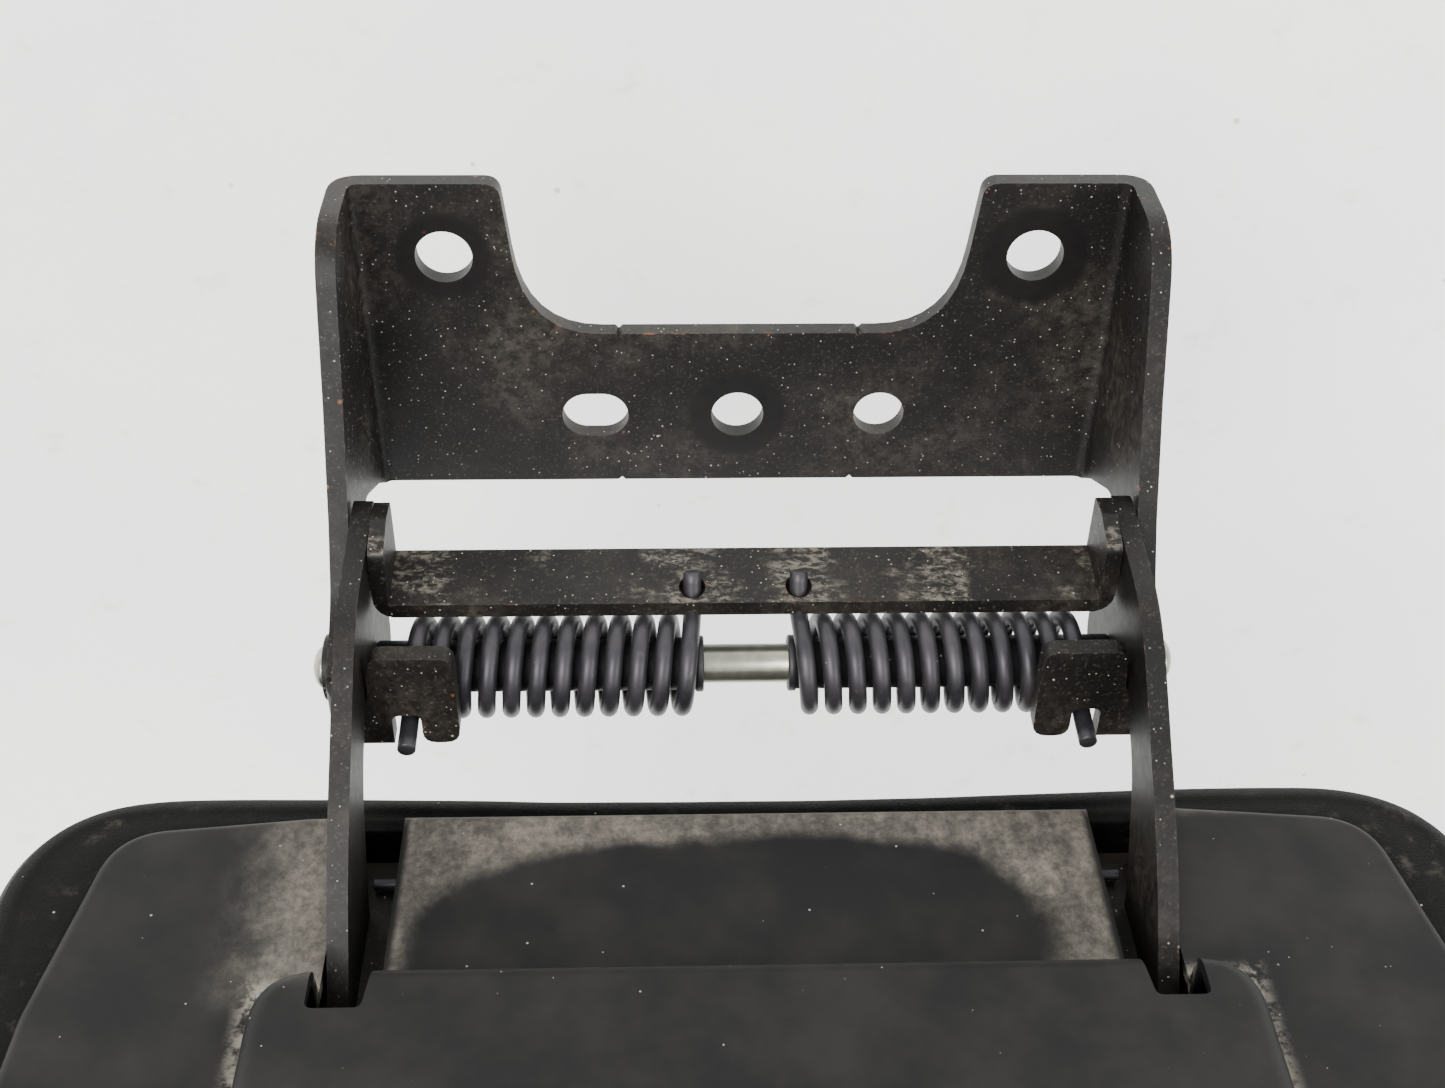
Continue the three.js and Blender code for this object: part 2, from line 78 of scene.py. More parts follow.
# ---------- materials ----------
class Look:
    """One procedural material, with short calls for the nodes that it is made of."""

    def __init__(self, name):
        self.material = bpy.data.materials.new(name)
        self.material.use_nodes = True
        self.tree = self.material.node_tree
        self.shader = next(n for n in self.tree.nodes if n.type == "BSDF_PRINCIPLED")
        self.place = self.node("ShaderNodeTexCoord").outputs["Object"]
        split = self.node("ShaderNodeSeparateXYZ")
        self.feed(split.inputs[0], self.place)
        self.x, self.y, self.z = split.outputs

    def node(self, kind, **settings):
        made = self.tree.nodes.new(kind)
        for key, value in settings.items():
            setattr(made, key, value)
        return made

    def feed(self, socket, value):
        if isinstance(value, bpy.types.NodeSocket):
            self.tree.links.new(value, socket)
        else:
            socket.default_value = value

    def math(self, operation, a, b=0.0, clamp=False):
        made = self.node("ShaderNodeMath", operation=operation, use_clamp=clamp)
        self.feed(made.inputs[0], a)
        self.feed(made.inputs[1], b)
        return made.outputs[0]

    def times(self, *values):
        total = values[0]
        for value in values[1:]:
            total = self.math("MULTIPLY", total, value)
        return total

    def either(self, *values):
        total = values[0]
        for value in values[1:]:
            total = self.math("MAXIMUM", total, value)
        return total

    def step(self, value, low, high):
        """0 below low, 1 above high, smooth between; the other way round if low > high."""
        made = self.node("ShaderNodeMapRange", interpolation_type="SMOOTHSTEP")
        flip = low > high
        self.feed(made.inputs["Value"], value)
        made.inputs["From Min"].default_value = min(low, high)
        made.inputs["From Max"].default_value = max(low, high)
        made.inputs["To Min"].default_value = 1.0 if flip else 0.0
        made.inputs["To Max"].default_value = 0.0 if flip else 1.0
        return made.outputs["Result"]

    def stretched(self, x, y, z):
        made = self.node("ShaderNodeMapping")
        self.feed(made.inputs["Vector"], self.place)
        made.inputs["Scale"].default_value = (x, y, z)
        return made.outputs["Vector"]

    def noise(self, size_mm, detail=4.0, roughness=0.6, at=None, distortion=0.0):
        made = self.node("ShaderNodeTexNoise")
        self.feed(made.inputs["Vector"], at or self.place)
        made.inputs["Scale"].default_value = 1000.0 / size_mm
        made.inputs["Detail"].default_value = detail
        made.inputs["Roughness"].default_value = roughness
        made.inputs["Distortion"].default_value = distortion
        return made.outputs["Fac"]

    def cells(self, size_mm, feature="F1"):
        made = self.node("ShaderNodeTexVoronoi", feature=feature)
        self.feed(made.inputs["Vector"], self.place)
        made.inputs["Scale"].default_value = 1000.0 / size_mm
        return made.outputs["Distance"]

    def specks(self, size_mm, radius, share):
        """Small round dots: a share of the cells of that size holds one."""
        made = self.node("ShaderNodeTexVoronoi")
        self.feed(made.inputs["Vector"], self.place)
        made.inputs["Scale"].default_value = 1000.0 / size_mm
        dot = self.step(made.outputs["Distance"], radius, radius * 0.6)
        pick = self.node("ShaderNodeSeparateColor")
        self.feed(pick.inputs[0], made.outputs["Color"])
        return self.times(dot, self.step(pick.outputs[0], 1 - share, 1 - share * 0.6))

    def colour(self, factor, a, b):
        made = self.node("ShaderNodeMix", data_type="RGBA")
        self.feed(made.inputs["Factor"], factor)
        self.feed(made.inputs["A"], (*a, 1.0) if isinstance(a, tuple) else a)
        self.feed(made.inputs["B"], (*b, 1.0) if isinstance(b, tuple) else b)
        return made.outputs["Result"]

    def edges(self, radius_mm):
        """Near 1 on sharp edges, 0 on flat faces."""
        soft = self.node("ShaderNodeBevel", samples=6)
        soft.inputs["Radius"].default_value = radius_mm * MM
        true = self.node("ShaderNodeNewGeometry")
        dot = self.node("ShaderNodeVectorMath", operation="DOT_PRODUCT")
        self.feed(dot.inputs[0], soft.outputs[0])
        self.feed(dot.inputs[1], true.outputs["Normal"])
        return self.step(dot.outputs["Value"], 0.985, 0.80)

    def facing(self, axis):
        """The surface normal's component along an axis: 0 is X, 1 is Y and 2 is Z."""
        geometry = self.node("ShaderNodeNewGeometry")
        split = self.node("ShaderNodeSeparateXYZ")
        self.feed(split.inputs[0], geometry.outputs["Normal"])
        return split.outputs[axis]

    def near_point(self, x, y, radius_mm, soft_mm):
        """1 within a radius of a vertical line, in the XY plane."""
        dx = self.math("SUBTRACT", self.x, x * MM)
        dy = self.math("SUBTRACT", self.y, y * MM)
        square = self.math("ADD", self.math("MULTIPLY", dx, dx), self.math("MULTIPLY", dy, dy))
        return self.step(self.math("SQRT", square), (radius_mm + soft_mm) * MM, radius_mm * MM)

    def finish(self, base, roughness, metallic=0.0, bump=None, strength=0.3, depth_mm=0.2):
        self.feed(self.shader.inputs["Base Color"], base)
        self.feed(self.shader.inputs["Roughness"], roughness)
        self.feed(self.shader.inputs["Metallic"], metallic)
        if bump is not None:
            made = self.node("ShaderNodeBump")
            made.inputs["Strength"].default_value = strength
            made.inputs["Distance"].default_value = depth_mm * MM
            self.feed(made.inputs["Height"], bump)
            self.feed(self.shader.inputs["Normal"], made.outputs[0])
        return self.material


DUST = (0.20, 0.17, 0.135)
PALE_DUST = (0.42, 0.38, 0.32)
RUST = (0.25, 0.085, 0.028)


def black_paint(name, dust=0.5, rust=0.5, scrape=0.0, washer_marks=()):
    """Satin black paint with a dust film, bright specks, chipped edges and rust."""
    look = Look(name)
    broad = look.noise(38, 5, 0.62)
    fine = look.noise(3.2, 4, 0.7)
    film = look.times(look.step(broad, 0.42, 0.75), look.step(fine, 0.35, 0.72), 0.30 * dust)
    specks = look.either(look.specks(3.1, 0.10, 0.42), look.specks(7.5, 0.06, 0.30),
                         look.specks(1.7, 0.15, 0.42))
    grit = look.times(look.step(look.noise(1.0, 3, 0.75), 0.56, 0.70), 0.32 * dust)
    edge = look.edges(0.9)
    chips = look.times(edge, look.step(look.noise(2.6, 5, 0.7), 0.50, 0.66))
    rusty = look.times(look.step(look.noise(17, 4, 0.6), 0.50, 0.66), chips, rust)
    blooms = look.times(look.step(look.noise(5.5, 6, 0.7), 0.68, 0.76), 0.35 * rust)
    spots = look.either(look.specks(4.6, 0.16, 0.30), look.specks(2.6, 0.14, 0.16))
    spots = look.times(spots, look.edges(4.0), rust)
    clean = 0.0
    for x, y, radius in washer_marks:
        clean = look.either(clean, look.near_point(x, y, radius, 3.0))
    keep = look.math("SUBTRACT", 1.0, clean)
    base = look.colour(look.step(broad, 0.3, 0.7), (0.0042, 0.0038, 0.0036), (0.0090, 0.0074, 0.0064))
    base = look.colour(look.times(film, keep), base, DUST)
    base = look.colour(look.times(grit, keep), base, DUST)
    if scrape:
        wave = look.math("COSINE", look.times(look.math("SUBTRACT", look.math("ABSOLUTE", look.x), 14 * MM),
                                              2 * math.pi / (36 * MM)))
        patches = look.noise(19, 5, 0.62, at=look.stretched(0.8, 1.0, 1.3))
        patches = look.step(look.math("ADD", patches, look.times(wave, 0.07)), 0.50, 0.64)
        crumbs = look.noise(2.3, 6, 0.78, at=look.stretched(0.6, 1.0, 1.1), distortion=0.5)
        crumbs = look.step(crumbs, 0.46, 0.62)
        front = look.step(look.facing(1), -0.35, -0.8)
        base = look.colour(look.times(patches, crumbs, front, scrape), base, (0.14, 0.125, 0.10))
    base = look.colour(look.times(specks, keep, min(1.0, 0.9 * dust + 0.15)), base, PALE_DUST)
    base = look.colour(look.times(chips, 0.35), base, (0.10, 0.085, 0.07))
    base = look.colour(look.either(rusty, blooms, spots), base, RUST)
    base = look.colour(look.times(clean, 0.6), base, (0.0025, 0.0022, 0.0022))
    rough = look.math("ADD", look.times(fine, 0.22), look.math("ADD", look.times(film, 0.4), 0.36))
    height = look.math("ADD", look.times(fine, 0.6), look.times(specks, 0.5))
    look.shader.inputs["Specular IOR Level"].default_value = 0.20
    return look.finish(base, rough, 0.0, height, 0.32, 0.16)


def spring_steel():
    look = Look("spring_steel")
    patch = look.noise(11, 5, 0.6)
    grain = look.noise(0.9, 3, 0.7)
    base = look.colour(look.step(patch, 0.35, 0.68), (0.028, 0.0265, 0.031), (0.048, 0.044, 0.048))
    brown = look.times(look.step(look.noise(4.2, 5, 0.7), 0.60, 0.72), 0.45)
    base = look.colour(brown, base, (0.11, 0.088, 0.072))
    base = look.colour(look.times(look.specks(2.8, 0.08, 0.14), 0.6), base, PALE_DUST)
    rough = look.math("ADD", look.times(patch, 0.20), 0.34)
    return look.finish(base, rough, 0.62, grain, 0.22, 0.12)


def zinc():
    look = Look("zinc_plate")
    streaks = look.noise(3.0, 5, 0.6, at=look.stretched(0.18, 1.0, 1.0))
    cloud = look.noise(9, 4, 0.6)
    base = look.colour(look.step(cloud, 0.35, 0.7), (0.22, 0.225, 0.185), (0.36, 0.355, 0.29))
    base = look.colour(look.times(look.step(streaks, 0.52, 0.72), 0.5), base, (0.12, 0.115, 0.09))
    rough = look.math("ADD", look.times(streaks, 0.22), 0.20)
    return look.finish(base, rough, 0.92, streaks, 0.10, 0.10)


def black_plastic():
    look = Look("black_plastic")
    grain = look.noise(0.8, 3, 0.6)
    base = look.colour(look.specks(2.6, 0.10, 0.3), (0.008, 0.008, 0.009), PALE_DUST)
    return look.finish(base, look.math("ADD", look.times(grain, 0.2), 0.42), 0.0, grain, 0.2, 0.1)


def shell_plastic():
    """Dark grey moulded shell: dust lies along its lower edge, beside the arms and round the block."""
    look = Look("shell_plastic")
    across = look.math("ABSOLUTE", look.x)
    cloud = look.noise(26, 5, 0.6)
    crumbs = look.noise(2.1, 5, 0.75)
    streak = look.noise(8, 5, 0.7, at=look.stretched(1.6, 1.0, 0.8))
    patchy = look.step(look.math("ADD", look.times(cloud, 0.45), look.times(streak, 0.55)), 0.40, 0.62)
    mottled = look.math("ADD", look.times(look.step(crumbs, 0.30, 0.72), 0.6), 0.4)
    front = look.step(look.facing(1), -0.4, -0.8)
    below = look.step(look.z, 161 * MM, 158 * MM)

    # Beside the +X arm, fading outwards.
    beside = look.times(look.step(look.x, 98 * MM, 101 * MM), look.step(look.x, 132 * MM, 106 * MM),
                        look.step(look.z, 168 * MM, 156 * MM))
    beside = look.times(beside, look.step(cloud, 0.22, 0.55))
    # Central panel: outside a wiped arch that is open towards the block.
    reach = look.math("DIVIDE", look.math("SUBTRACT", look.x, 5 * MM), 79 * MM)
    rise = look.math("DIVIDE", look.math("SUBTRACT", 161 * MM, look.z), 47.5 * MM)
    power = look.math("ADD", look.math("POWER", look.math("ABSOLUTE", reach), 3.6),
                      look.math("POWER", look.math("ABSOLUTE", rise), 3.2))
    wobble = look.math("ADD", power, look.times(look.math("SUBTRACT", cloud, 0.5), 0.7))
    arch = look.times(look.step(wobble, 0.74, 1.12), below, look.step(across, 86 * MM, 84 * MM))
    # A thin line of dirt in the corner at the foot of the block.
    over = look.math("SUBTRACT", across, 113.5 * MM)
    under = look.math("SUBTRACT", 160.5 * MM, look.z)
    to_block = look.math("MAXIMUM", over, under)
    foot = look.times(look.step(to_block, -2.2 * MM, 0.2 * MM), look.step(to_block, 7 * MM, 1.0 * MM),
                      look.step(look.y, 60 * MM, 64 * MM), look.step(look.z, 260 * MM, 190 * MM))
    rim = look.times(look.step(look.z, 110 * MM, 105 * MM), look.step(across, 155 * MM, 110 * MM), 0.5)

    dusty = look.either(look.times(beside, 0.80), look.times(arch, 0.88), rim)
    dusty = look.times(dusty, look.math("ADD", look.times(patchy, 0.55), 0.45), mottled, front)
    corner = look.times(foot, look.step(look.noise(3.6, 5, 0.75), 0.40, 0.60), 0.65)
    veil = look.times(look.step(cloud, 0.35, 0.75), 0.03)
    spots = look.times(look.either(look.specks(4.5, 0.08, 0.22), look.specks(2.2, 0.09, 0.06)), 0.6)

    base = look.colour(look.step(cloud, 0.3, 0.7), (0.0074, 0.0073, 0.0076), (0.0096, 0.0094, 0.0095))
    base = look.colour(veil, base, DUST)
    base = look.colour(dusty, base, (0.185, 0.165, 0.14))
    base = look.colour(corner, base, (0.27, 0.245, 0.205))
    base = look.colour(spots, base, PALE_DUST)
    look.shader.inputs["Specular IOR Level"].default_value = 0.11
    rough = look.math("ADD", look.times(look.either(dusty, corner), 0.25),
                      look.math("ADD", look.times(crumbs, 0.10), 0.47))
    height = look.math("ADD", look.times(look.noise(0.55, 2, 0.5), 0.5), look.times(dusty, 0.6))
    return look.finish(base, rough, 0.0, height, 0.16, 0.12)


def vinyl():
    """Grained black leathercloth, a little dusty, with fine creases."""
    look = Look("vinyl")
    grain = look.cells(1.15, feature="DISTANCE_TO_EDGE")
    pores = look.step(grain, 0.0, 0.16)
    crease = look.noise(16, 6, 0.68, distortion=0.8)
    lines = look.step(look.math("ABSOLUTE", look.math("SUBTRACT", crease, 0.5)), 0.012, 0.0)
    cloud = look.noise(45, 4, 0.6)
    dust = look.times(look.step(look.noise(7, 6, 0.7), 0.52, 0.72), look.step(cloud, 0.38, 0.66), 0.16)
    base = look.colour(look.step(cloud, 0.3, 0.7), (0.0020, 0.0019, 0.0019), (0.0036, 0.0034, 0.0032))
    base = look.colour(dust, base, DUST)
    base = look.colour(look.times(look.specks(5.0, 0.07, 0.25), 0.8), base, PALE_DUST)
    look.shader.inputs["Specular IOR Level"].default_value = 0.07
    rough = look.math("ADD", look.times(pores, -0.10), look.math("ADD", look.times(cloud, 0.14), 0.50))
    height = look.math("SUBTRACT", look.times(pores, 0.7), look.times(lines, 0.8))
    return look.finish(base, rough, 0.0, height, 0.30, 0.22)


def foam():
    look = Look("foam")
    pore = look.cells(1.4)
    base = look.colour(look.step(look.noise(20, 4, 0.6), 0.3, 0.7), (0.42, 0.34, 0.15), (0.55, 0.47, 0.24))
    return look.finish(base, look.math("ADD", look.times(pore, 0.1), 0.85), 0.0, pore, 0.6, 0.5)


def plywood():
    look = Look("plywood")
    rings = look.noise(9, 5, 0.6, at=look.stretched(1.0, 1.0, 0.12), distortion=0.6)
    plies = look.math("SINE", look.times(look.y, 2 * math.pi / (2.0 * MM)))
    # The grain and plies are the wood's own; the near-black tone is painted shade, for the dark inside the
    # shell's arm slots.
    base = look.colour(look.step(rings, 0.35, 0.68), (0.010, 0.008, 0.006), (0.022, 0.017, 0.012))
    base = look.colour(look.times(look.step(plies, 0.0, 0.9), 0.35), base, (0.035, 0.024, 0.014))
    return look.finish(base, look.math("ADD", look.times(rings, 0.2), 0.6), 0.0, rings, 0.2, 0.2)


def pale_floor():
    look = Look("floor")
    cloud = look.noise(260, 5, 0.55)
    grime = look.noise(22, 6, 0.7)
    # The broad cloud mixes in bluish-grey patches of painted soft shade; the grime and the specks are dirt.
    base = look.colour(look.step(cloud, 0.3, 0.72), (0.94, 0.935, 0.89), (0.84, 0.855, 0.84))
    base = look.colour(look.times(look.step(grime, 0.56, 0.74), 0.30), base, (0.50, 0.46, 0.38))
    base = look.colour(look.times(look.specks(30, 0.05, 0.35), 0.5), base, (0.22, 0.20, 0.16))
    return look.finish(base, look.math("ADD", look.times(grime, 0.1), 0.75), 0.0, grime, 0.05, 0.3)


PAINT_BRACKET = black_paint("bracket_paint", dust=0.55, rust=0.9,
                            washer_marks=((0, 17, 12), (-77.5, -33, 12.5), (77.5, -33, 11)))
PAINT_ARM = black_paint("arm_paint", dust=0.42, rust=0.55)
PAINT_BAR = black_paint("crossbar_paint", dust=0.55, rust=0.35, scrape=0.8)
SPRING = spring_steel()
ZINC = zinc()
PLASTIC = black_plastic()
SHELL = shell_plastic()
VINYL = vinyl()
FOAM = foam()
WOOD = plywood()


def paint(obj, material):
    if len(obj.material_slots) == 0:
        obj.data.materials.append(material)
    for piece in obj.material_slots:
        piece.material = material


# ---------- CAD nodes kept: welded, edges eased, shaded smooth ----------
def weld_group():
    """Geometry nodes that weld the imported facets and shade them smooth."""
    group = bpy.data.node_groups.new("weld_and_smooth", "GeometryNodeTree")
    group.interface.new_socket("Geometry", in_out="INPUT", socket_type="NodeSocketGeometry")
    group.interface.new_socket("Geometry", in_out="OUTPUT", socket_type="NodeSocketGeometry")
    start = group.nodes.new("NodeGroupInput")
    end = group.nodes.new("NodeGroupOutput")
    bare = group.nodes.new("GeometryNodeRemoveAttribute")
    bare.inputs["Name"].default_value = "custom_normal"
    merge = group.nodes.new("GeometryNodeMergeByDistance")
    merge.inputs["Distance"].default_value = 1e-6
    smooth = group.nodes.new("GeometryNodeSetShadeSmooth")
    chain = [start, bare, merge, smooth, end]
    for a, b in zip(chain, chain[1:]):
        group.links.new(a.outputs[0], b.inputs[0])
    return group


WELD = weld_group()


def ease(node, material, width_mm):
    """Keeps a CAD node and gives it a material and small rounded edges."""
    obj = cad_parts[node]
    paint(obj, material)
    weld = obj.modifiers.new("weld", "NODES")
    weld.node_group = WELD
    bevel = obj.modifiers.new("bevel", "BEVEL")
    bevel.width = width_mm * MM
    bevel.segments = 2
    bevel.limit_method = "ANGLE"
    bevel.angle_limit = math.radians(38)
    bevel.use_clamp_overlap = True
    weighted = obj.modifiers.new("normals", "WEIGHTED_NORMAL")
    weighted.keep_sharp = False
    weighted.weight = 80


ease("mount_bracket", PAINT_BRACKET, 0.6)
ease("crossbar", PAINT_BAR, 0.5)
for side in ("left", "right"):
    ease(f"arm_{side}", PAINT_ARM, 0.55)
    ease(f"arm_foot_{side}", PAINT_ARM, 0.5)
    ease(f"washer_{side}", PAINT_ARM, 0.3)
    for name in ("foot_bolt_low", "foot_bolt_high", "shell_screw_low", "shell_screw_high"):
        ease(f"{name}_{side}", ZINC, 0.25)
ease("slot_rod", SPRING, 0.2)
ease("seat_board", WOOD, 0.5)


# ---------- mesh helpers ----------
def new_piece(name, bm, material, body, slot, *nodes):
    mesh = bpy.data.meshes.new(name)
    bmesh.ops.recalc_face_normals(bm, faces=bm.faces)
    bm.to_mesh(mesh)
    bm.free()
    mesh.shade_smooth()
    obj = bpy.data.objects.new(name, mesh)
    collection.objects.link(obj)
    mesh.materials.append(material)
    if body:
        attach(obj, body)
    if nodes:
        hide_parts(*nodes)
    return obj


def skin(bm, rings, loop=False):
    """Joins rings of equally many points by quads; in a loop the last ring meets the first one."""
    made = [[bm.verts.new(p) for p in ring] for ring in rings]
    count = len(made[0])
    pairs = list(zip(made, made[1:])) + ([(made[-1], made[0])] if loop else [])
    for a, b in pairs:
        for i in range(count):
            j = (i + 1) % count
            bm.faces.new((a[i], a[j], b[j], b[i]))
    return made


def loft(bm, rings):
    """A skin with both of its end rings capped."""
    made = skin(bm, rings)
    bm.faces.new(list(reversed(made[0])))
    bm.faces.new(made[-1])


def turned(profile_mm, steps=72, hollow=False):
    """A solid turned about the shaft's axis, from (x, radius) pairs in millimetres.

    The profile of a hollow one closes on itself; that of a full one ends in a flat cap at each end.
    """
    bm = bmesh.new()
    rings = []
    for x, radius in profile_mm:
        rings.append([(x * MM, SHAFT_Y + radius * MM * math.cos(a), SHAFT_Z + radius * MM * math.sin(a))
                      for a in (2 * math.pi * i / steps for i in range(steps))])
    if hollow:
        skin(bm, rings, loop=True)
    else:
        loft(bm, rings)
    return bm


def outline(corners, per_corner=14, per_edge=10):
    """Closed outline in the XZ plane, in millimetres; every corner is [x, z, reach of its curve]."""
    points = []
    count = len(corners)
    ends = []
    for i, (x, z, reach) in enumerate(corners):
        here = np.array((x, z), float)
        before = np.array(corners[i - 1][:2], float) - here
        after = np.array(corners[(i + 1) % count][:2], float) - here
        cosine = before @ after / (np.linalg.norm(before) * np.linalg.norm(after))
        half = math.acos(max(-1, min(1, cosine))) / 2
        leg = reach / math.tan(half) if reach else 0.0
        enter = here + before / np.linalg.norm(before) * leg
        leave = here + after / np.linalg.norm(after) * leg
        ends.append((here, enter, leave))
    for i, (here, enter, leave) in enumerate(ends):
        if np.linalg.norm(enter - leave) > 1e-9:
            for t in np.linspace(0, 1, per_corner):
                points.append((1 - t) ** 2 * enter + 2 * t * (1 - t) * here + t * t * leave)
        else:
            points.append(here)
        following = ends[(i + 1) % count][1]
        for t in np.linspace(0, 1, per_edge + 1)[1:-1]:
            points.append(leave + (following - leave) * t)
    return np.array(points)


def inset(points, distance):
    """The outline moved inwards along its normals."""
    ahead = np.roll(points, -1, axis=0) - np.roll(points, 1, axis=0)
    normal = np.stack([-ahead[:, 1], ahead[:, 0]], axis=1)
    normal /= np.linalg.norm(normal, axis=1)[:, None]
    area = 0.5 * np.sum(points[:, 0] * np.roll(points[:, 1], -1) - np.roll(points[:, 0], -1) * points[:, 1])
    return points + normal * distance * (1 if area > 0 else -1)


def ring_xz(points_mm, y_mm):
    return [(x * MM, y_mm * MM, z * MM) for x, z in points_mm]


def cut(obj, other, operation="DIFFERENCE"):
    """Boolean with another mesh object, which is then removed."""
    modifier = obj.modifiers.new("cut", "BOOLEAN")
    modifier.operation = operation
    modifier.solver = "EXACT"
    modifier.object = other
    depsgraph = bpy.context.evaluated_depsgraph_get()
    mesh = bpy.data.meshes.new_from_object(obj.evaluated_get(depsgraph))
    obj.modifiers.remove(modifier)
    obj.data = mesh
    bpy.data.objects.remove(other)


def loose(name, bm):
    mesh = bpy.data.meshes.new(name)
    bmesh.ops.recalc_face_normals(bm, faces=bm.faces)
    bm.to_mesh(mesh)
    bm.free()
    obj = bpy.data.objects.new(name, mesh)
    collection.objects.link(obj)
    return obj


def quarter(y0, y1, inset0, inset1, steps=6):
    """Profile of a rounded edge, from (y0, inset0) to (y1, inset1): leaves y0 along the wall."""
    return [(y0 + (y1 - y0) * math.sin(a), inset0 + (inset1 - inset0) * (1 - math.cos(a)))
            for a in np.linspace(0, math.pi / 2, steps)]


# ---------- shaft, spools, springs ----------
SHAFT_R, SHOULDER, HEAD_R, HEAD_HIGH = 5.0, 107.4, 5.6, 3.0


def make_shaft():
    """Bar with a domed rivet head at each end."""
    dome = [(SHOULDER + HEAD_HIGH * math.sin(a), HEAD_R * math.cos(a))
            for a in np.linspace(0, math.radians(80), 9)]
    bar = [(-SHOULDER, SHAFT_R), (SHOULDER, SHAFT_R)]
    profile = [(-x, r) for x, r in reversed(dome)] + bar + dome
    new_piece("shaft_turned", turned(profile, 96), ZINC, "base", "zinc_plate", "pivot_shaft")


make_shaft()


def spool(sign):
    """Plastic sleeve that the coils sit on, with a narrow collar at its inner end."""
    outside = [(10.8, 6.9), (11.2, 7.25), (12.6, 7.25), (13.0, 6.7), (93.6, 6.7), (94.0, 6.4)]
    inside = [(94.0, 5.1), (10.8, 5.1)]
    return turned([(sign * x, r) for x, r in outside + inside], hollow=True)


# Radius of the wire and of the coil, the inner leg's distance from the centre, and the coil's pitch.
WIRE, MEAN, START, PITCH, TURNS = 2.3, 11.2, 13.6, 6.25, 11.3417
INNER_LEG, OUTER_LEG, START_ANGLE = 13.1, 16.0, math.radians(206)
WIRE_EASE = 0.35


def spring_path():
    """Centre line of one spring: a radial leg, the coil, and a radial leg, in millimetres."""
    def at(x, angle, radius):
        return np.array((x, SHAFT_Y / MM + radius * math.cos(angle), SHAFT_Z / MM + radius * math.sin(angle)))

    per_turn, bend = 14, MEAN + 3.0
    steps = round(TURNS * per_turn)
    knots = [at(START, START_ANGLE, MEAN + INNER_LEG), at(START, START_ANGLE, bend)]
    for i in range(1, steps):
        knots.append(at(START + PITCH * i / per_turn, START_ANGLE - 2 * math.pi * i / per_turn, MEAN))
    end_x, end = START + PITCH * TURNS, START_ANGLE - 2 * math.pi * TURNS
    knots += [at(end_x, end, bend), at(end_x, end, MEAN + OUTER_LEG)]
    points = []
    padded = [2 * knots[0] - knots[1]] + knots + [2 * knots[-1] - knots[-2]]
    for p0, p1, p2, p3 in zip(padded, padded[1:], padded[2:], padded[3:]):
        # Centripetal Catmull-Rom between p1 and p2.
        spans = ((p0, p1), (p1, p2), (p2, p3))
        t = np.cumsum([0.0] + [max(np.linalg.norm(b - a), 1e-6) ** 0.5 for a, b in spans])
        for u in np.linspace(t[1], t[2], 4, endpoint=False):
            a1 = p0 + (p1 - p0) * (u - t[0]) / (t[1] - t[0])
            a2 = p1 + (p2 - p1) * (u - t[1]) / (t[2] - t[1])
            a3 = p2 + (p3 - p2) * (u - t[2]) / (t[3] - t[2])
            b1 = a1 + (a2 - a1) * (u - t[0]) / (t[2] - t[0])
            b2 = a2 + (a3 - a2) * (u - t[1]) / (t[3] - t[1])
            points.append(b1 + (b2 - b1) * (u - t[1]) / (t[2] - t[1]))
    points.append(knots[-1])
    return np.array(points)


def spring(sign, sides=14):
    """Round wire swept along the centre line, with eased ends."""
    path = spring_path() * (sign, 1, 1)
    tangents = np.gradient(path, axis=0)
    tangents /= np.linalg.norm(tangents, axis=1)[:, None]
    normal = np.array((1.0, 0.0, 0.0))
    tip = WIRE * 0.8
    rings = []
    for i, (point, tangent) in enumerate(zip(path, tangents)):
        normal = normal - tangent * (normal @ tangent)
        normal /= np.linalg.norm(normal)
        side = np.cross(tangent, normal)
        circle = [normal * math.cos(a) + side * math.sin(a) for a in np.arange(sides) * 2 * math.pi / sides]
        sections = [(0.0, WIRE)]
        if i == 0:
            sections = [(0.0, tip), (WIRE_EASE, WIRE)]
        if i == len(path) - 1:
            sections = [(-WIRE_EASE, WIRE), (0.0, tip)]
        for slide, radius in sections:
            rings.append([tuple((point + tangent * slide + c * radius) * MM) for c in circle])
    bm = bmesh.new()
    loft(bm, rings)
    return bm


# On the real seat the leg in the tab stays with the bracket and the leg in the crossbar turns with the seat;
# here each spring is baked in place and joins no body.
for side, sign in (("left", 1), ("right", -1)):
    new_piece(f"spool_sleeve_{side}", spool(sign), PLASTIC, "base", "black_plastic", f"spool_{side}")
    coil = new_piece(f"torsion_spring_{side}", spring(sign), SPRING, None, "spring_steel", f"spring_{side}")
    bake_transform(coil)


# ---------- seat shell ----------
# All in millimetres: the pan's front and rear along Y and its wall; its outline in the XZ plane.
SHELL_FRONT, SHELL_REAR, SKIN = 70.0, 88.3, 3.0
LOW, HIGH, HALF = 104.5, 424.0, 169.0
# The raised block, the rounding of both front edges and the draft at the block's foot.
BLOCK_FRONT, BLOCK_HALF, BLOCK_LOW, BLOCK_HIGH = 58.0, 113.5, 160.5, 392.0
PAN_ROLL, BLOCK_ROLL, BLOCK_FLARE = 3.0, 5.0, 1.2
